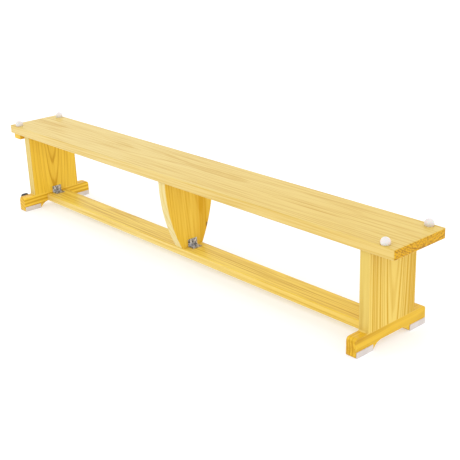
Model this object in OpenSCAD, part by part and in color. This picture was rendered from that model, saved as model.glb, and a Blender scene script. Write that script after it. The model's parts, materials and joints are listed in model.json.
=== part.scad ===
// Wooden gymnastics bench whose lower rail is a floor balance beam when the bench is turned over.
// Frame: origin on the floor below the middle of the bench, +X along it, +Z up. All sizes in mm.

/* [Bench] */
// Length of the walking board, end to end
bench_l = 2000; // [1500:10:4000]
// Height of the walking board's upper face above the floor
bench_h = 340; // [260:5:420]
// Thickness of the end uprights, the feet and the middle support
leg_t = 35; // [25:1:45]
// Distance from the board's end to the outer face of the upright
overhang = 90; // [70:1:200]

/* [Board] */
// Width of the walking board
board_w = 230; // [200:1:300]
// Thickness of the walking board
board_t = 32; // [22:1:40]
// Corner radius of the board seen from above
board_corner_r = 8; // [5:1:30]
// Rounding of the long edges of board and beam
edge_r = 4; // [1:0.5:6]

/* [Uprights and middle support] */
// Width of an end upright
upright_w = 208; // [180:1:230]
// Small hollow radius where the upright meets the foot
upright_fillet = 6; // [2:1:12]
// Width of the middle support under the board
support_top_w = 215; // [150:1:230]
// Width of the middle support on the beam
support_foot_w = 93; // [60:1:95]

/* [Feet] */
// Length of a foot across the bench
foot_l = 316; // [260:1:360]
// Height of the foot's upper face above the floor
foot_top = 58; // [50:1:80]
// Rounding of the foot's upper ends
foot_corner_r = 12; // [5:1:25]
// Height of the flat part of the foot's arch
arch_z = 22; // [15:1:30]
// Half the length of the flat part of the arch
arch_flat = 44; // [30:1:60]
// Radius of the hollow between the arch and the pad
arch_r = 42; // [20:0.5:50]

/* [Balance beam] */
// Width of the lower beam
beam_w = 95; // [80:1:120]
// Thickness of the lower beam
beam_t = 28; // [22:1:40]

/* [Foot pads] */
// Distance from the middle to the inner end of a pad
pad_in = 84; // [60:1:100]
// Distance from the middle to the outer end of a pad
pad_out = 155.5; // [120:0.5:156]
// Wall thickness of a pad
pad_t = 3; // [2:0.5:4]
// Height of a pad's side walls above the floor
pad_h = 18.5; // [10:0.5:19]

/* [Bumpers] */
// Radius of a bumper, which is a ball cut flat at its foot
bumper_r = 14.5; // [10:0.5:20]
// Height of a bumper
bumper_h = 21; // [16:1:26]
// Distance from the board's end to a bumper's centre
bumper_end = 45; // [30:1:80]
// Distance from the board's side to a bumper's centre
bumper_side = 19; // [18:1:40]
// Length of the stud that holds a bumper in the board
stud_l = 32; // [20:1:36]

/* [Hook cleat] */
// Length of the cleat across the board
cleat_l = 200; // [150:1:220]
// Depth of the cleat below the board
cleat_h = 25; // [20:1:40]
// Thickness of the cleat along the bench
cleat_t = 45; // [18:1:50]
// Distance from the board's end to the cleat
cleat_inset = 4; // [0:1:20]
// Rounding of the cleat's lower edges
cleat_r = 2.5; // [1:0.5:6]

/* [Angle brackets] */
// Width of an angle bracket
angle_w = 40; // [30:1:60]
// Length of its standing leg
angle_up = 27; // [20:1:40]
// Length of its lying leg
angle_out = 30; // [20:1:50]
// Sheet thickness of brackets
sheet_t = 2.5; // [1.5:0.5:3]
// Inner radius of the angle bracket's bend
bend_r = 2; // [0.5:0.5:4]

/* [Transport wheels] */
// Outer radius of a tyre
tyre_r = 25; // [20:1:30]
// Outer radius of a hub
hub_r = 17; // [14:1:20]
// Width of a tyre
tyre_w = 20; // [15:1:25]
// Height of the wheel's centre above the floor
wheel_z = 29; // [26:1:35]
// Distance from the upright's outer face to the wheel's centre
wheel_out = 31; // [28:1:40]
// Distance from the bench's middle line to the wheel's centre
wheel_y = 114; // [100:1:120]
// Gap between the ears of a wheel bracket
fork_gap = 22; // [20:1:30]
// Radius of an axle bolt
axle_r = 4; // [3:0.5:5]

/* [Fasteners] */
// Radius of a dowel
dowel_r = 5; // [4:0.5:6]
// Depth of a dowel in a board laid flat
dowel_flat = 16; // [12:1:20]
// Depth of a dowel in the end of a board
dowel_end = 34; // [20:1:45]
// Radius of a wood screw's shank
screw_r = 2; // [1.5:0.5:2.5]
// Radius of a wood screw's head
screw_head_r = 4; // [3:0.5:5]
// Height of a wood screw's head
screw_head_h = 2; // [1.5:0.5:3]

/* [Hidden] */

$fn = 64;
fit = 0.06;                                 // radial room around a dowel or screw in its hole
cut = 1;                                    // length by which a cutter passes a face
board_z = bench_h - board_t;                // underside of the walking board
leg_in = bench_l / 2 - overhang - leg_t;    // inner face of an upright and its foot
leg_x = leg_in + leg_t / 2;                 // middle of an upright
beam_top = arch_z + beam_t;
top_dowel_ys = [-75, 0, 75];                // dowels under the walking board
beam_dowel_ys = [-25, 25];                  // dowels in the narrow beam
pad_screw_ys = [pad_in + 18, pad_out - 18];
angle_screw_y = 10;                         // half the spacing of the screws in an angle bracket
angle_screw_at = 18;                        // distance of those screws from the bracket's corner
support_r = (pow(board_z - beam_top, 2) + pow((support_top_w - support_foot_w) / 2, 2))
            / (support_top_w - support_foot_w);
bumper_ys = [-1, 1] * (board_w / 2 - bumper_side);
bumper_x = bench_l / 2 - bumper_end;
stud_r = 3;
stud_up = 12;                               // length of a bumper's stud above the board
cleat_screw_l = 38;
cleat_seat = 3;                             // depth of the screw seats in the cleat
pad_screw_l = 20;
plate_screw_l = 18;
angle_screw_l = 16;
cleat_x = -bench_l / 2 + cleat_inset + cleat_t / 2;
wheel_x = -(leg_in + leg_t + wheel_out);
plate_x = -(leg_in + leg_t);                // outer face of the left foot
plate_z = [21, 47];                         // lower and upper edge of a wheel bracket's plate
plate_half = 26;                            // half the length of that plate
plate_screw = 20.5;                         // distance of its screws from the wheel's middle plane
ear_r = 9;                                  // rounded end of a wheel bracket's ear
nut_h = 6.5;
bolt_head_h = 5;
hex_r = 7.5;
pine = [0.93, 0.76, 0.45];
beech = [0.84, 0.66, 0.46];
steel = [0.55, 0.56, 0.58];
white = [0.95, 0.95, 0.96];
soft_grey = [0.86, 0.83, 0.83];
hub_grey = [0.30, 0.31, 0.33];
tyre_grey = [0.16, 0.16, 0.17];

// ---- shared shapes ----

module round_rect(l, w, r) {
  square([l - 2 * r, w], center = true);
  square([l, w - 2 * r], center = true);
  for (sx = [-1, 1], sy = [-1, 1])
    translate([sx * (l / 2 - r), sy * (w / 2 - r)]) circle(r);
}

// Extrudes a drawing whose axes are Y and Z along X, centred on the given x.
module along_x(x, length) {
  translate([x - length / 2, 0, 0]) rotate([90, 0, 90]) linear_extrude(length) children();
}

// Extrudes a drawing whose axes are X and Z along Y, centred on the given y.
module along_y(y, length) {
  translate([0, y + length / 2, 0]) rotate([90, 0, 0]) linear_extrude(length) children();
}

// A board with rounded long edges and rounded end edges.
module round_board(l, w, t, z, corner) {
  intersection() {
    translate([0, 0, z]) linear_extrude(t) round_rect(l, w, corner);
    along_x(0, l) translate([0, z + t / 2]) round_rect(w, t, edge_r);
    along_y(0, w) translate([0, z + t / 2]) round_rect(l, t, edge_r);
  }
}

// A screw pointing down -Z with the underside of its head at the origin.
module screw(length, gap = 0) {
  translate([0, 0, -length - gap]) cylinder(r = screw_r + gap, h = length + gap + screw_head_h / 2);
}

module screw_head() {
  difference() {
    cylinder(r = screw_head_r, h = screw_head_h);
    for (a = [0, 90])
      rotate([0, 0, a]) translate([0, 0, screw_head_h]) cube([screw_head_r, 0.9, 1.6], center = true);
  }
}

module wood_screw(length) {
  screw(length);
  screw_head();
}

// ---- dowels, studs and screws; gap = 0 draws the piece, gap = fit draws its hole ----

module top_dowels(x, gap = 0) {
  for (y = top_dowel_ys)
    translate([x, y, board_z - dowel_end - gap])
      cylinder(r = dowel_r + gap, h = dowel_end + dowel_flat + 2 * gap);
}

module foot_dowels(x, gap = 0) {
  for (y = top_dowel_ys)
    translate([x, y, foot_top - dowel_flat - gap])
      cylinder(r = dowel_r + gap, h = dowel_end + dowel_flat + 2 * gap);
}

module beam_dowels(side, gap = 0) {
  for (y = beam_dowel_ys)
    translate([side * (leg_in - dowel_end - gap), y, arch_z + beam_t / 2]) rotate([0, side * 90, 0])
      cylinder(r = dowel_r + gap, h = dowel_end + dowel_flat + 2 * gap);
}

module support_dowels(gap = 0) {
  for (y = beam_dowel_ys)
    translate([0, y, beam_top - dowel_flat - gap])
      cylinder(r = dowel_r + gap, h = dowel_end + dowel_flat + 2 * gap);
}

// Places the four screws of an angle bracket: x is the face it stands against, dir the way it lies.
module at_angle_screws(x, dir) {
  for (y = [-angle_screw_y, angle_screw_y]) {
    translate([x + dir * angle_screw_at, y, beam_top + sheet_t]) children();
    translate([x + dir * sheet_t, y, beam_top + angle_screw_at]) rotate([0, dir * 90, 0]) children();
  }
}

module angle_holes() {
  for (at = [[-leg_in, 1], [-leg_t / 2, -1], [leg_t / 2, 1], [leg_in, -1]])
    at_angle_screws(at[0], at[1]) screw(angle_screw_l, fit);
}

module at_pad_screws(side) {
  for (sy = [-1, 1], y = pad_screw_ys)
    translate([side * leg_x, sy * y, screw_head_h]) rotate([180, 0, 0]) children();
}

module bumper_studs(side, gap = 0) {
  for (y = bumper_ys)
    translate([side * bumper_x, y, bench_h + stud_up - stud_l - gap])
      cylinder(r = stud_r + gap, h = stud_l + 2 * gap);
}

module at_cleat_screws() {
  for (y = [-1, 0, 1] * cleat_l * 0.38)
    translate([cleat_x, y, board_z - cleat_h + cleat_seat]) rotate([180, 0, 0]) children();
}

module at_plate_screws(side) {
  for (dy = [-plate_screw, plate_screw], z = [plate_z[0] + 7, plate_z[1] - 7])
    translate([plate_x - sheet_t, side * wheel_y + dy, z]) rotate([0, -90, 0]) children();
}

// ---- wooden pieces ----

module top_board() {
  color(pine) difference() {
    round_board(bench_l, board_w, board_t, board_z, board_corner_r);
    for (x = [-leg_x, 0, leg_x]) top_dowels(x, fit);
    for (side = [-1, 1]) bumper_studs(side, fit);
    at_cleat_screws() screw(cleat_screw_l, fit);
  }
}

module hook_cleat() {
  color(pine) difference() {
    along_y(0, cleat_l) translate([cleat_x, board_z - cleat_h / 2]) union() {
      round_rect(cleat_t, cleat_h, cleat_r);
      translate([0, cleat_h / 4]) square([cleat_t, cleat_h / 2], center = true);
    }
    at_cleat_screws() {
      screw(cleat_screw_l, fit);
      cylinder(r = screw_head_r + 0.5, h = cleat_seat + cut);
    }
  }
}

module upright(side) {
  color(pine) difference() {
    along_x(side * leg_x, leg_t) union() {
      translate([-upright_w / 2, foot_top]) square([upright_w, board_z - foot_top]);
      difference() {
        translate([-upright_w / 2 - upright_fillet, foot_top])
          square([upright_w + 2 * upright_fillet, upright_fillet]);
        for (sy = [-1, 1])
          translate([sy * (upright_w / 2 + upright_fillet), foot_top + upright_fillet])
            circle(upright_fillet);
      }
    }
    top_dowels(side * leg_x, fit);
    foot_dowels(side * leg_x, fit);
    angle_holes();
  }
}

module middle_support() {
  color(pine) difference() {
    along_x(0, leg_t) intersection() {
      translate([-support_top_w / 2, beam_top]) square([support_top_w, board_z - beam_top]);
      intersection_for (sy = [-1, 1])
        translate([sy * (support_r - support_top_w / 2), board_z]) circle(support_r, $fn = 180);
    }
    top_dowels(0, fit);
    support_dowels(fit);
    angle_holes();
  }
}

module foot(side) {
  color(pine) difference() {
    along_x(side * leg_x, leg_t) difference() {
      union() {
        translate([-foot_l / 2 + foot_corner_r, pad_t])
          square([foot_l - 2 * foot_corner_r, foot_top - pad_t]);
        translate([-foot_l / 2, pad_t]) square([foot_l, foot_top - pad_t - foot_corner_r]);
        for (sy = [-1, 1])
          translate([sy * (foot_l / 2 - foot_corner_r), foot_top - foot_corner_r]) circle(foot_corner_r);
      }
      translate([-arch_flat, 0]) square([2 * arch_flat, arch_z]);
      for (sy = [-1, 1]) translate([sy * arch_flat, arch_z - arch_r]) circle(arch_r);
    }
    foot_dowels(side * leg_x, fit);
    beam_dowels(side, fit);
    at_pad_screws(side) screw(pad_screw_l, fit);
    for (wheel = [-1, 1]) at_plate_screws(wheel) screw(plate_screw_l, fit);
  }
}

module lower_beam() {
  color(pine) difference() {
    along_x(0, 2 * leg_in) translate([0, arch_z + beam_t / 2]) round_rect(beam_w, beam_t, edge_r);
    for (side = [-1, 1]) beam_dowels(side, fit);
    support_dowels(fit);
    angle_holes();
  }
}

// ---- pads and bumpers ----

module pad(side, sy) {
  color(soft_grey) difference() {
    along_x(side * leg_x, leg_t + 2 * pad_t)
      translate([sy * (pad_in + pad_out) / 2 - (pad_out - pad_in) / 2, 0]) square([pad_out - pad_in, pad_h]);
    translate([side * leg_x, sy * (pad_in + pad_out) / 2, pad_t + pad_h / 2])
      cube([leg_t, pad_out, pad_h], center = true);
    at_pad_screws(side) {
      screw(pad_screw_l, fit);
      cylinder(r = screw_head_r + 0.5, h = screw_head_h + cut);
    }
  }
}

module bumper(side, sy) {
  color(white) difference() {
    translate([side * bumper_x, sy * bumper_ys[1], bench_h]) intersection() {
      cylinder(r = bumper_r + cut, h = bumper_h + cut);
      translate([0, 0, bumper_h - bumper_r]) sphere(bumper_r);
    }
    bumper_studs(side, fit);
  }
}

// ---- steel pieces ----

module angle(x, dir) {
  color(steel) difference() {
    along_y(0, angle_w) translate([x, beam_top]) mirror([dir < 0 ? 1 : 0, 0]) union() {
      square([angle_out, sheet_t]);
      square([sheet_t, angle_up]);
      difference() {
        square(sheet_t + bend_r);
        translate([sheet_t + bend_r, sheet_t + bend_r]) circle(bend_r);
      }
    }
    at_angle_screws(x, dir) screw(angle_screw_l, fit);
  }
}

module wheel_bracket(side) {
  color(steel) difference() {
    translate([0, side * wheel_y, 0]) union() {
      translate([plate_x - sheet_t, -plate_half, plate_z[0]])
        cube([sheet_t, 2 * plate_half, plate_z[1] - plate_z[0]]);
      for (sy = [-1, 1]) along_y(sy * (fork_gap + sheet_t) / 2, sheet_t) union() {
        translate([wheel_x, wheel_z]) circle(ear_r);
        translate([wheel_x, plate_z[0]]) square([plate_x - wheel_x, wheel_z + ear_r - plate_z[0]]);
      }
    }
    axle_shank(side, fit);
    at_plate_screws(side) screw(plate_screw_l, fit);
  }
}

module axle_shank(side, gap = 0) {
  length = fork_gap + 2 * sheet_t + nut_h + 2;
  translate([wheel_x, side * (wheel_y + fork_gap / 2 + sheet_t), wheel_z]) rotate([side * 90, 0, 0])
    translate([0, 0, -gap]) cylinder(r = axle_r + gap, h = length + 2 * gap);
}

module axle_bolt(side) {
  color(steel) union() {
    axle_shank(side);
    translate([wheel_x, side * (wheel_y + fork_gap / 2 + sheet_t + bolt_head_h / 2), wheel_z])
      rotate([90, 0, 0]) cylinder(r = hex_r, h = bolt_head_h, center = true, $fn = 6);
  }
}

module axle_nut(side) {
  color(steel) difference() {
    translate([wheel_x, side * (wheel_y - fork_gap / 2 - sheet_t - nut_h / 2), wheel_z])
      rotate([90, 0, 0]) cylinder(r = hex_r, h = nut_h, center = true, $fn = 6);
    axle_shank(side, fit);
  }
}

// ---- wheels ----

module hub(side) {
  boss_r = 8;
  boss_w = fork_gap - 0.6;
  rim_t = 3;
  web_t = 7;
  color(hub_grey) translate([wheel_x, side * wheel_y, wheel_z]) rotate([90, 0, 0]) difference() {
    union() {
      difference() {
        cylinder(r = hub_r, h = tyre_w - 2, center = true);
        cylinder(r = hub_r - rim_t, h = tyre_w, center = true);
      }
      cylinder(r = hub_r - rim_t / 2, h = web_t, center = true);
      cylinder(r = boss_r, h = boss_w, center = true);
    }
    cylinder(r = axle_r + fit, h = fork_gap, center = true);
    for (a = [0:72:288])
      rotate([0, 0, a]) translate([(boss_r + hub_r - rim_t) / 2, 0, 0])
        cylinder(r = 2, h = tyre_w, center = true);
  }
}

module tyre(side) {
  color(tyre_grey) translate([wheel_x, side * wheel_y, wheel_z]) rotate([90, 0, 0]) rotate_extrude()
    translate([(tyre_r + hub_r) / 2, 0]) union() {
      round_rect(tyre_r - hub_r, tyre_w, 3);
      translate([-(tyre_r - hub_r) / 4, 0]) square([(tyre_r - hub_r) / 2, tyre_w], center = true);
    }
}

// ---- one call per node ----

top_board();
hook_cleat();
upright(-1);  // left_upright
upright(1);  // right_upright
middle_support();
foot(-1);  // left_foot
foot(1);  // right_foot
lower_beam();
pad(-1, -1);  // left_front_pad
pad(-1, 1);  // left_rear_pad
pad(1, -1);  // right_front_pad
pad(1, 1);  // right_rear_pad
bumper(-1, -1);  // left_front_bumper
bumper(-1, 1);  // left_rear_bumper
bumper(1, -1);  // right_front_bumper
bumper(1, 1);  // right_rear_bumper
color(steel) bumper_studs(-1);  // left_bumper_studs
color(steel) bumper_studs(1);  // right_bumper_studs
color(steel) at_pad_screws(-1) wood_screw(pad_screw_l);  // left_pad_screws
color(steel) at_pad_screws(1) wood_screw(pad_screw_l);  // right_pad_screws
angle(-leg_in, 1);  // left_angle
angle(-leg_t / 2, -1);  // middle_left_angle
angle(leg_t / 2, 1);  // middle_right_angle
angle(leg_in, -1);  // right_angle
color(steel) at_angle_screws(-leg_in, 1) wood_screw(angle_screw_l);  // left_angle_screws
color(steel) at_angle_screws(-leg_t / 2, -1) wood_screw(angle_screw_l);  // middle_left_angle_screws
color(steel) at_angle_screws(leg_t / 2, 1) wood_screw(angle_screw_l);  // middle_right_angle_screws
color(steel) at_angle_screws(leg_in, -1) wood_screw(angle_screw_l);  // right_angle_screws
color(steel) at_cleat_screws() wood_screw(cleat_screw_l);  // cleat_screws
color(beech) top_dowels(-leg_x);  // left_top_dowels
color(beech) top_dowels(leg_x);  // right_top_dowels
color(beech) top_dowels(0);  // middle_top_dowels
color(beech) foot_dowels(-leg_x);  // left_foot_dowels
color(beech) foot_dowels(leg_x);  // right_foot_dowels
color(beech) beam_dowels(-1);  // left_beam_dowels
color(beech) beam_dowels(1);  // right_beam_dowels
color(beech) support_dowels();  // middle_beam_dowels
wheel_bracket(-1);  // front_wheel_bracket
wheel_bracket(1);  // rear_wheel_bracket
color(steel) at_plate_screws(-1) wood_screw(plate_screw_l);  // front_bracket_screws
color(steel) at_plate_screws(1) wood_screw(plate_screw_l);  // rear_bracket_screws
axle_bolt(-1);  // front_axle_bolt
axle_bolt(1);  // rear_axle_bolt
axle_nut(-1);  // front_axle_nut
axle_nut(1);  // rear_axle_nut
hub(-1);  // front_hub
hub(1);  // rear_hub
tyre(-1);  // front_tyre
tyre(1);  // rear_tyre
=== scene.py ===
"""Gymnastics bench whose lower rail is a floor balance beam: looks, light and camera for the CAD frame."""
import json
import math

import bpy
from mathutils import Matrix, Vector


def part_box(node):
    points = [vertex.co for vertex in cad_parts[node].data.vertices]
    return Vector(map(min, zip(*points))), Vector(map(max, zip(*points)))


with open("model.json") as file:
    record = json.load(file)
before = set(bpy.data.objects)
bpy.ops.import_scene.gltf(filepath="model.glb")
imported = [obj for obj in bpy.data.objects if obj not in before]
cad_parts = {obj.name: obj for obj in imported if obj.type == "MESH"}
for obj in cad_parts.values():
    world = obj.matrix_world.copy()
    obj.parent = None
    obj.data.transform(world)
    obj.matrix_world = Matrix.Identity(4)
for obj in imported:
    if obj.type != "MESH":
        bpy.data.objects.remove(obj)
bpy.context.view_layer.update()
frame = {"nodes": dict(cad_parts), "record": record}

NODES = frame["nodes"]
X, Y, Z = 0, 1, 2


# ---------------------------------------------------------------- node helper

EDGE_TURN = (0.995, 0.8)        # cosine between bevelled and flat normal: no edge, full edge


class Tree:
    """Short calls for building one material's node tree."""

    def __init__(self, name):
        self.mat = bpy.data.materials.new(name)
        self.mat.use_nodes = True
        self.tree = self.mat.node_tree
        self.tree.nodes.clear()
        self.out = self.add("ShaderNodeOutputMaterial")
        self.coords = self.add("ShaderNodeTexCoord")

    def add(self, kind, inputs=None, **props):
        n = self.tree.nodes.new(kind)
        for key, value in props.items():
            setattr(n, key, value)
        for key, value in (inputs or {}).items():
            self.feed(n.inputs[key], value)
        return n

    def feed(self, socket, value):
        if isinstance(value, bpy.types.NodeSocket):
            self.tree.links.new(value, socket)
        else:
            socket.default_value = value

    def math(self, operation, a, b=0.0, c=0.0, clamp=False):
        return self.add("ShaderNodeMath", {0: a, 1: b, 2: c}, operation=operation, use_clamp=clamp).outputs[0]

    def xyz(self, x, y, z):
        return self.add("ShaderNodeCombineXYZ", {0: x, 1: y, 2: z}).outputs[0]

    def split(self, vector):
        return self.add("ShaderNodeSeparateXYZ", {0: vector}).outputs

    def noise(self, vector, scale=1.0, detail=2.0, roughness=0.5, distortion=0.0):
        return self.add("ShaderNodeTexNoise", {"Vector": vector, "Scale": scale, "Detail": detail,
                                               "Roughness": roughness, "Distortion": distortion}).outputs[0]

    def ramp(self, fac, stops, interpolation="LINEAR"):
        n = self.add("ShaderNodeValToRGB", {"Fac": fac})
        n.color_ramp.interpolation = interpolation
        elements = n.color_ramp.elements
        while len(elements) < len(stops):
            elements.new(0.5)
        for element, (at, value) in zip(elements, stops):
            element.position = at
            element.color = (*value, 1) if isinstance(value, tuple) else (value, value, value, 1)
        return n.outputs[0]

    def square(self, value):
        return self.math("MULTIPLY", value, value)

    def bell(self, squared):
        """1 where the squared distance is 0, falling off smoothly around it."""
        return self.math("EXPONENT", self.math("MULTIPLY", squared, -1.0))

    def curve(self, value, low, high, to_low=0.0, to_high=1.0, smooth=True):
        ends = {"Value": value, "From Min": low, "From Max": high, "To Min": to_low, "To Max": to_high}
        kind = "SMOOTHSTEP" if smooth else "LINEAR"
        return self.add("ShaderNodeMapRange", ends, interpolation_type=kind).outputs[0]

    def mix(self, fac, a, b, blend="MIX"):
        n = self.add("ShaderNodeMix", data_type="RGBA", blend_type=blend)
        for key, value in (("Factor_Float", fac), ("A_Color", a), ("B_Color", b)):
            socket = next(s for s in n.inputs if s.identifier == key)
            self.feed(socket, (*value, 1) if isinstance(value, tuple) and len(value) == 3 else value)
        return next(s for s in n.outputs if s.identifier == "Result_Color")

    def edge(self, radius):
        """0 on flat faces, up to about 1 on convex or concave edges."""
        bent = self.add("ShaderNodeBevel", {"Radius": radius}, samples=4).outputs[0]
        flat = self.add("ShaderNodeNewGeometry").outputs["Normal"]
        dot = self.add("ShaderNodeVectorMath", {0: bent, 1: flat}, operation="DOT_PRODUCT").outputs["Value"]
        return self.curve(dot, *EDGE_TURN)

    def finish(self, color, roughness, height, distance, strength=1.0, **constants):
        relief = {"Height": height, "Distance": distance, "Strength": strength}
        bump = self.add("ShaderNodeBump", relief).outputs[0]
        skin = {"Base Color": color, "Roughness": roughness, "Normal": bump}
        shader = self.add("ShaderNodeBsdfPrincipled", skin)
        for key, value in constants.items():
            shader.inputs[key.replace("_", " ")].default_value = value
        self.tree.links.new(shader.outputs[0], self.out.inputs[0])
        return self.mat


# ---------------------------------------------------------------- pine

WARP = (2.2, 5.0)               # stretch along and across the grain of the rings' slow wander
RIPPLE = (9.0, 40.0)            # the same of their fine ripple
RIPPLE_DEPTH = 0.0025
HAIR = (3.0, 190.0)             # the same of the hair-fine lines
SPACING_SCALE = 42.0            # how fast the rings' spacing changes outwards
SPACING = 2.2                   # by how many rings
FAINTEST = 0.30                 # of the weakest year's late wood
LATE_END = 0.92                 # where in a year the late wood ends
BASE_TONE = 0.10                # even darkening of the whole board
FACE_TURN = (0.6, 0.95)         # normal's share of an axis: another face, the face that looks along it
END_TURN = (0.75, 0.97)         # the same for the board's ends
LACQUER = (0.98, 0.94, 0.80)    # tint of the cloudy patches in the lacquer
RUBBED = (0.82, 0.66, 0.27)     # tint of rubbed edges
KNOT = (0.16, 0.06, 0.012)      # a knot's colour
KNOT_DEPTH = 0.8                # how much of that colour it takes
KNOT_LENGTH = 2.2               # length of a knot along the grain, in widths
RELIEF = 0.0003                 # depth of the grain's bump
GLOSS = {"Specular_IOR_Level": 0.15, "Coat_Weight": 0.04, "Coat_Roughness": 0.18}


def pine(name, node, along, across, early, late, pith=(0.0, -0.07), lean=(0.0, 0.0), ring=0.008,
         wave=0.004, lines=1.0, thin=0.0, streaks=1.0, hairs=0.0, bands=(), knots=(), seed=0.0,
         end_dark=0.5, sides=(), fade=None):
    """Clear-lacquered pine sawn from a log: rings are cylinders around a pith line, warped along the grain.

    along, across: axis numbers of the grain and of the board's width.
    pith, lean: place of the pith line from the board's middle (across, through), its slope along the grain.
    ring, wave: width of a year's ring, how far the rings wander.
    lines, streaks, hairs: strength of the late wood, of the soft streaks and of hair-fine lines.
    thin: 0 for broad late wood, 1 for narrow lines.
    bands: (across, half width, strength) darkens a strip along the grain.
    knots: (along, across, size, push) from the board's middle.
    end_dark: how much darker the board's ends are.
    sides: (axis, early, late) gives the faces that look along an axis their own colours; on the ±Y faces
    these are painted light, standing in for how the light falls on them.
    fade: (axis, clear, full, tint) tints the board along an axis, from one place on it to another.
    """
    t = Tree(name)
    through = 3 - along - across
    low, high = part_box(node)
    middle = (low + high) / 2
    place = t.split(t.coords.outputs["Object"])
    a, b, c = (t.math("SUBTRACT", place[i], middle[i]) for i in (along, across, through))

    def grain(stretch, fine, detail=2.0, roughness=0.5, shift=0.0):
        """Noise drawn out along the grain, centred on 0."""
        at = t.xyz(t.math("MULTIPLY_ADD", a, stretch, seed + shift), t.math("MULTIPLY", b, fine),
                   t.math("MULTIPLY", c, fine))
        return t.math("SUBTRACT", t.noise(at, detail=detail, roughness=roughness), 0.5)

    # distance from the wandering pith line, pushed aside by knots
    db = t.math("MULTIPLY_ADD", a, -lean[0], t.math("SUBTRACT", b, pith[0]))
    dc = t.math("MULTIPLY_ADD", a, -lean[1], t.math("SUBTRACT", c, pith[1]))
    radius = t.math("SQRT", t.math("ADD", t.square(db), t.square(dc)))
    radius = t.math("MULTIPLY_ADD", grain(*WARP, 1.0), wave * 2, radius)
    radius = t.math("MULTIPLY_ADD", grain(*RIPPLE, shift=7.0), RIPPLE_DEPTH, radius)
    knot_dark = 0.0
    for ka, kb, size, push in knots:
        da = t.math("DIVIDE", t.math("SUBTRACT", a, ka), size * KNOT_LENGTH)
        dk = t.math("DIVIDE", t.math("SUBTRACT", b, kb), size)
        near = t.bell(t.math("ADD", t.square(da), t.square(dk)))
        radius = t.math("MULTIPLY_ADD", near, push, radius)
        knot_dark = t.math("MAXIMUM", knot_dark, t.curve(near, 0.72, 0.95))

    # ring profile: pale early wood darkens slowly, then ends in a firm late-wood line
    count = t.math("DIVIDE", radius, ring)
    uneven = t.noise(t.xyz(t.math("MULTIPLY", radius, SPACING_SCALE), seed, 3.0), detail=1.0)
    count = t.math("MULTIPLY_ADD", uneven, SPACING, count)
    year = t.math("FLOOR", count)
    start = 0.32 + 0.4 * thin
    rise = LATE_END - start
    profile = [(0.0, 0.30), (0.08, 0.0), (start, 0.0), (start + 0.40 * rise, 0.45),
               (start + 0.68 * rise, 1.0), (LATE_END, 1.0), (1.0, 0.30)]
    ring_line = t.ramp(t.math("FRACT", count), profile)
    own = {"W": t.math("ADD", year, seed)}
    weight = t.add("ShaderNodeTexWhiteNoise", own, noise_dimensions="1D").outputs[0]
    ring_line = t.math("MULTIPLY", ring_line, t.curve(weight, 0.0, 1.0, FAINTEST, 1.0, smooth=False))

    # fibres, soft streaks and a few dark resin streaks run with the grain
    fibre = grain(14.0, 900.0, shift=11.0)
    streak = grain(1.5, 70.0, 3.0, 0.6, shift=13.0)
    resin = t.curve(grain(1.1, 110.0, 2.0, shift=17.0), 0.12, 0.22)
    cloud = grain(3.0, 12.0, shift=19.0)

    # the ends of the board show the rings darker and drink more lacquer
    facing = t.split(t.coords.outputs["Normal"])
    end = t.curve(t.math("ABSOLUTE", facing[along]), *END_TURN)
    tone = t.math("MULTIPLY", ring_line, t.math("MULTIPLY_ADD", end, end_dark, lines))
    tone = t.math("MULTIPLY_ADD", streak, 1.9 * streaks, tone)
    tone = t.math("MULTIPLY_ADD", resin, 0.35 * streaks, tone)
    tone = t.math("MULTIPLY_ADD", fibre, 0.35, tone)
    if hairs:
        tone = t.math("MULTIPLY_ADD", grain(*HAIR, shift=23.0), hairs, tone)
    tone = t.math("MULTIPLY_ADD", end, end_dark * 0.5, tone)
    for at, half, strength in bands:
        off = t.math("DIVIDE", t.math("SUBTRACT", b, at), half)
        tone = t.math("MULTIPLY_ADD", t.bell(t.square(off)), strength, tone)
    tone = t.math("ADD", tone, BASE_TONE, clamp=True)
    color = t.mix(tone, early, late)
    # painted light: faces that look along a listed axis take their own colours; on the ±Y faces these stand
    # in for how the light falls on them
    for axis, side_early, side_late in sides:
        side = t.curve(t.math("ABSOLUTE", facing[axis]), *FACE_TURN)
        color = t.mix(side, color, t.mix(tone, side_early, side_late))
    patchy = t.curve(cloud, -0.15, 0.2, 0.0, 0.35)
    color = t.mix(patchy, color, t.mix(1.0, color, LACQUER, "MULTIPLY"))
    if fade:
        axis, clear, full, tint = fade
        color = t.mix(t.curve(place[axis], clear, full), color, t.mix(1.0, color, tint, "MULTIPLY"))
    color = t.mix(t.math("MULTIPLY", knot_dark, KNOT_DEPTH), color, KNOT)
    worn = t.math("MULTIPLY", t.edge(0.004), t.curve(streak, -0.15, 0.10, 0.1, 0.45))
    worn = t.math("MULTIPLY", worn, t.math("MULTIPLY_ADD", end, -0.85, 1.0))
    color = t.mix(worn, color, t.mix(0.5, color, RUBBED))

    rough = t.math("MULTIPLY_ADD", fibre, 0.12, t.math("MULTIPLY_ADD", worn, 0.15, 0.36))
    height = t.math("ADD", t.math("MULTIPLY", fibre, 0.35), t.math("MULTIPLY", ring_line, -0.65))
    return t.finish(color, rough, height, RELIEF, 0.5, **GLOSS)


HONEY, HONEY_LATE = (0.88, 0.588, 0.057), (0.63, 0.345, 0.014)
GOLD, GOLD_LATE = (0.80, 0.580, 0.128), (0.60, 0.340, 0.016)
PALE, PALE_LATE = (0.705, 0.545, 0.185), (0.56, 0.350, 0.048)
# painted light: paler colours for the left upright's ±Y faces, standing in for the light falling on them
PAINTED_LIGHT_SIDE, PAINTED_LIGHT_SIDE_LATE = (0.70, 0.545, 0.185), (0.61, 0.415, 0.070)


# ---------------------------------------------------------------- other materials

SCRATCH_SCALE = (300.0, 2400.0, 900.0)      # along X, Y and Z


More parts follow.
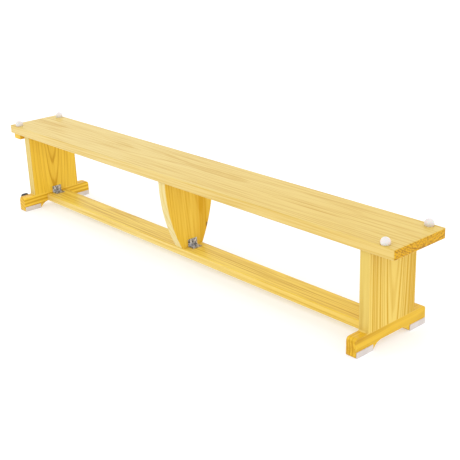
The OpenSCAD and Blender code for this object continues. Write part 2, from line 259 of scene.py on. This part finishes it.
def plastic(name, base, shade, grain, roughness, bump, **constants):
    """Moulded or pressed plastic with a fine pebbled skin, faint cloudiness and rubbed edges."""
    t = Tree(name)
    place = t.coords.outputs["Object"]
    cloud = t.noise(place, 35.0, 3.0)
    pebble = t.noise(place, grain, 3.0, 0.6)
    color = t.mix(t.curve(cloud, 0.3, 0.75), base, shade)
    edge = t.edge(0.0015)
    color = t.mix(t.math("MULTIPLY", edge, 0.35), color, tuple(min(1.0, v * 1.25 + 0.02) for v in base))
    color = t.mix(t.curve(pebble, 0.25, 0.5, 0.25, 0.0), color, tuple(v * 0.75 for v in shade))
    rough = t.math("MULTIPLY_ADD", pebble, 0.18, t.math("MULTIPLY_ADD", edge, -0.08, roughness))
    return t.finish(color, rough, pebble, bump, 0.6, **constants)


def zinc(name, base, dark, spangle, roughness):
    """Zinc-coated steel: mottled spangle, fine scratches, darker and duller smears."""
    t = Tree(name)
    place = t.coords.outputs["Object"]
    cells = t.add("ShaderNodeTexVoronoi", {"Vector": place, "Scale": spangle}, feature="F1")
    cell = t.split(cells.outputs["Color"])[0]
    drawn = (t.math("MULTIPLY", axis, scale) for axis, scale in zip(t.split(place), SCRATCH_SCALE))
    scratch = t.noise(t.xyz(*drawn), detail=2.0)
    smear = t.noise(place, 60.0, 3.0, 0.6)
    color = t.mix(cell, dark, base)
    color = t.mix(t.curve(smear, 0.35, 0.7, 0.0, 0.5), color, dark)
    color = t.mix(t.math("MULTIPLY", t.edge(0.001), 0.5), color, tuple(min(1.0, v * 1.3) for v in base))
    rough = t.math("MULTIPLY_ADD", cell, 0.14, t.math("MULTIPLY_ADD", smear, 0.14, roughness))
    height = t.math("ADD", scratch, t.math("MULTIPLY", cell, 0.5))
    return t.finish(color, rough, height, 0.0001, 0.6, Metallic=1.0)


# ---------------------------------------------------------------- wooden pieces

boards = {
    "top_board": pine("pine_board", "top_board", X, Y, PALE, PALE_LATE, pith=(0.020, 0.170),
                      lean=(0.012, 0.012), ring=0.0075, wave=0.005, lines=0.6, thin=0.6, streaks=0.65,
                      hairs=3.4, seed=1.7, end_dark=0.35,
                      # painted light: the ±Y faces get paler colours standing in for the light on them; the X
                      # ends get a deeper orange
                      sides=((Y, (0.745, 0.575, 0.230), (0.64, 0.44, 0.110)),
                             (X, (0.73, 0.41, 0.003), (0.40, 0.19, 0.001))),
                      fade=(X, -0.5, 0.9, (0.985, 0.94, 0.77, 1))),
    "lower_beam": pine("pine_beam", "lower_beam", X, Y, (0.865, 0.670, 0.135), (0.61, 0.375, 0.028),
                       pith=(0.03, -0.05), lean=(0.010, 0.012), ring=0.008, wave=0.005, lines=0.6, thin=0.3,
                       streaks=0.8, hairs=2.6, seed=5.1,
                       # painted light: the ±Y faces get paler colours standing in for the light on them
                       sides=((Y, (0.83, 0.635, 0.215), (0.68, 0.46, 0.085)),),
                       fade=(X, -0.2, 0.85, (1.0, 0.94, 0.60, 1))),
    "left_upright": pine("pine_left", "left_upright", Z, Y, HONEY, HONEY_LATE, pith=(-0.004, -0.041),
                         lean=(0.03, 0.050), ring=0.0085, wave=0.003, lines=0.95, thin=0.6, streaks=0.9,
                         # painted light: the ±Y faces get paler colours standing in for the light on them
                         hairs=0.5, seed=9.4, sides=((Y, PAINTED_LIGHT_SIDE, PAINTED_LIGHT_SIDE_LATE),)),
    "right_upright": pine("pine_right", "right_upright", Z, Y, GOLD, GOLD_LATE, pith=(0.004, -0.012),
                          lean=(0.01, 0.050), ring=0.0090, wave=0.002, lines=1.35, streaks=0.7,
                          bands=((0.0, 0.026, -0.25), (0.085, 0.03, 0.42)), seed=13.9,
                          # painted light: the ±Y faces get their own colours standing in for how the light
                          # falls on them
                          sides=((Y, (0.73, 0.545, 0.140), (0.51, 0.31, 0.028)),)),
    "middle_support": pine("pine_support", "middle_support", Z, Y, (0.88, 0.600, 0.074), (0.68, 0.375, 0.001),
                           pith=(0.045, -0.050), lean=(-0.05, 0.05), ring=0.009, wave=0.004, lines=0.6,
                           thin=0.5, streaks=0.9,
                           bands=((0.045, 0.010, 0.15), (0.066, 0.003, 0.9), (0.040, 0.002, 0.5),
                                  (0.055, 0.028, 0.50)),
                           knots=((-0.066, 0.070, 0.009, 0.010),), seed=17.2,
                           # painted light: the ±Y faces get paler colours standing in for the light on them
                           sides=((Y, (0.78, 0.66, 0.31), (0.68, 0.50, 0.14)),)),
    "left_foot": pine("pine_left_foot", "left_foot", Y, Z, HONEY, HONEY_LATE, pith=(-0.080, -0.030),
                      lean=(0.02, 0.01), ring=0.013, wave=0.003, lines=1.3, streaks=0.8, seed=21.5),
    "right_foot": pine("pine_right_foot", "right_foot", Y, Z, (0.78, 0.490, 0.034), (0.54, 0.275, 0.006),
                       pith=(-0.004, -0.090), lean=(0.02, 0.03), ring=0.012, wave=0.003, lines=0.9,
                       streaks=1.2, seed=26.3),
    "hook_cleat": pine("pine_cleat", "hook_cleat", Y, X, HONEY, HONEY_LATE, pith=(0.01, 0.06), ring=0.008,
                       lines=0.5, seed=31.8, end_dark=0.1),
}

finishes = {
    "beech": pine("beech_dowel", "left_top_dowels", Z, Y, (0.72, 0.52, 0.35), (0.58, 0.38, 0.22), ring=0.0025,
                  wave=0.001, seed=40.0),
    "foot_pad": plastic("pad_felt", (0.70, 0.64, 0.60), (0.62, 0.56, 0.53), 1400.0, 0.62, 0.00025),
    "bumper": plastic("bumper_white", (0.76, 0.72, 0.69), (0.66, 0.62, 0.61), 700.0, 0.30, 0.00008,
                      Subsurface_Weight=0.15, Subsurface_Scale=0.004, Coat_Weight=0.2),
    "galvanised_steel": zinc("zinc_sheet", (0.86, 0.87, 0.90), (0.13, 0.13, 0.14), 200.0, 0.34),
    "screw_steel": zinc("zinc_screw", (0.92, 0.92, 0.94), (0.62, 0.62, 0.64), 900.0, 0.30),
    "hub": plastic("hub_grey", (0.075, 0.080, 0.085), (0.055, 0.058, 0.062), 1500.0, 0.42, 0.00010),
    "tyre": plastic("tyre_rubber", (0.030, 0.030, 0.032), (0.045, 0.044, 0.044), 1100.0, 0.68, 0.00022),
}


def set_material(obj, material):
    if not obj.material_slots:
        obj.data.materials.append(material)
    for slot in obj.material_slots:
        slot.material = material


slots = {s["node"]: s["material_slot"] for s in frame["record"]["subparts"]}
for name, obj in NODES.items():
    set_material(obj, boards[name] if name in boards else finishes[slots[name]])


# ---------------------------------------------------------------- soft edges on the sawn pieces

SAME_POINT = 1e-6               # corners nearer than this are one
SHARP = math.radians(35)        # edges that turn more than this are rounded
SAWN_EDGE = {name: 0.0025 for name in ("left_upright", "right_upright", "middle_support", "left_foot",
                                       "right_foot")}
SLOT_EDGE = {"foot_pad": 0.0007, "hub": 0.0007, "galvanised_steel": 0.0004}


def soften(obj, width):
    """Rounds the piece's sharp edges by a modifier."""
    weld = obj.modifiers.new("weld", "WELD")
    weld.merge_threshold = SAME_POINT
    bevel = obj.modifiers.new("soft_edges", "BEVEL")
    bevel.width = width
    bevel.segments = 3
    bevel.limit_method = "ANGLE"
    bevel.angle_limit = SHARP
    bevel.harden_normals = False


for name, obj in NODES.items():
    width = SLOT_EDGE.get(slots[name], SAWN_EDGE.get(name))
    if width:
        soften(obj, width)


# ---------------------------------------------------------------- floor, light, camera

CAMERA_PLACE = (2.395500, -1.916949, 1.271513)
CAMERA_LENS = 72.378            # mm
SENSOR_WIDTH = 36.0             # mm
CLIP_END = 200.0
YAW, PITCH, ROLL = 0.848155, 0.365696, -0.036094        # left, down, over
SKY_STRENGTH = 1.20
FLOOR_SIZE = 60.0
FLOOR_GLOW = {"Emission_Color": (0.96, 0.975, 1.0, 1.0), "Emission_Strength": 0.43}
BENCH_MIDDLE = Vector((0, 0, 0.2))      # what the lamps point at
LAMPS = {"key": ((-1.2, -3.2, 4.2), 3.5, 21.0), "fill": ((3.5, -1.0, 2.5), 3.0, 3.5)}  # place, size, power


def floor_material():
    t = Tree("floor_pale")
    place = t.coords.outputs["Object"]
    grain = t.noise(place, 180.0, 2.0)
    cloud = t.noise(place, 0.9, 2.0)
    color = t.mix(t.curve(cloud, 0.3, 0.7), (0.620, 0.628, 0.645), (0.628, 0.636, 0.649))
    rough = t.math("MULTIPLY_ADD", grain, 0.05, 0.80)
    return t.finish(color, rough, grain, 0.00005, 0.1, Specular_IOR_Level=0.1, **FLOOR_GLOW)


bpy.ops.mesh.primitive_plane_add(size=FLOOR_SIZE, location=(0, 0, 0))
floor = bpy.context.object
floor.name = "studio_floor"
floor.data.materials.append(floor_material())

world = bpy.data.worlds.new("studio_world")
bpy.context.scene.world = world
world.use_nodes = True
sky = world.node_tree.nodes["Background"].inputs
sky["Color"].default_value = (1.0, 1.0, 1.0, 1)
sky["Strength"].default_value = SKY_STRENGTH


def area_light(name, place, size, power):
    data = bpy.data.lights.new(name, "AREA")
    data.shape, data.size, data.energy = "DISK", size, power
    light = bpy.data.objects.new(name, data)
    bpy.context.scene.collection.objects.link(light)
    light.location = place
    light.rotation_euler = (BENCH_MIDDLE - Vector(place)).to_track_quat("-Z", "Y").to_euler()


for name, (place, size, power) in LAMPS.items():
    area_light(name, place, size, power)

bpy.context.scene.view_settings.view_transform = "Standard"

camera_data = bpy.data.cameras.new("camera")
camera_data.sensor_width = SENSOR_WIDTH
camera_data.lens = CAMERA_LENS
camera_data.clip_end = CLIP_END
camera = bpy.data.objects.new("camera", camera_data)
bpy.context.scene.collection.objects.link(camera)
ahead = Vector((-math.sin(YAW) * math.cos(PITCH), math.cos(YAW) * math.cos(PITCH), -math.sin(PITCH)))
level = ahead.cross(Vector((0, 0, 1))).normalized()
plumb = level.cross(ahead)
right = level * math.cos(ROLL) + plumb * math.sin(ROLL)
up = plumb * math.cos(ROLL) - level * math.sin(ROLL)
turn = Matrix((right, up, -ahead)).transposed()
camera.matrix_world = Matrix.Translation(CAMERA_PLACE) @ turn.to_4x4()
bpy.context.scene.camera = camera

bpy.context.view_layer.update()
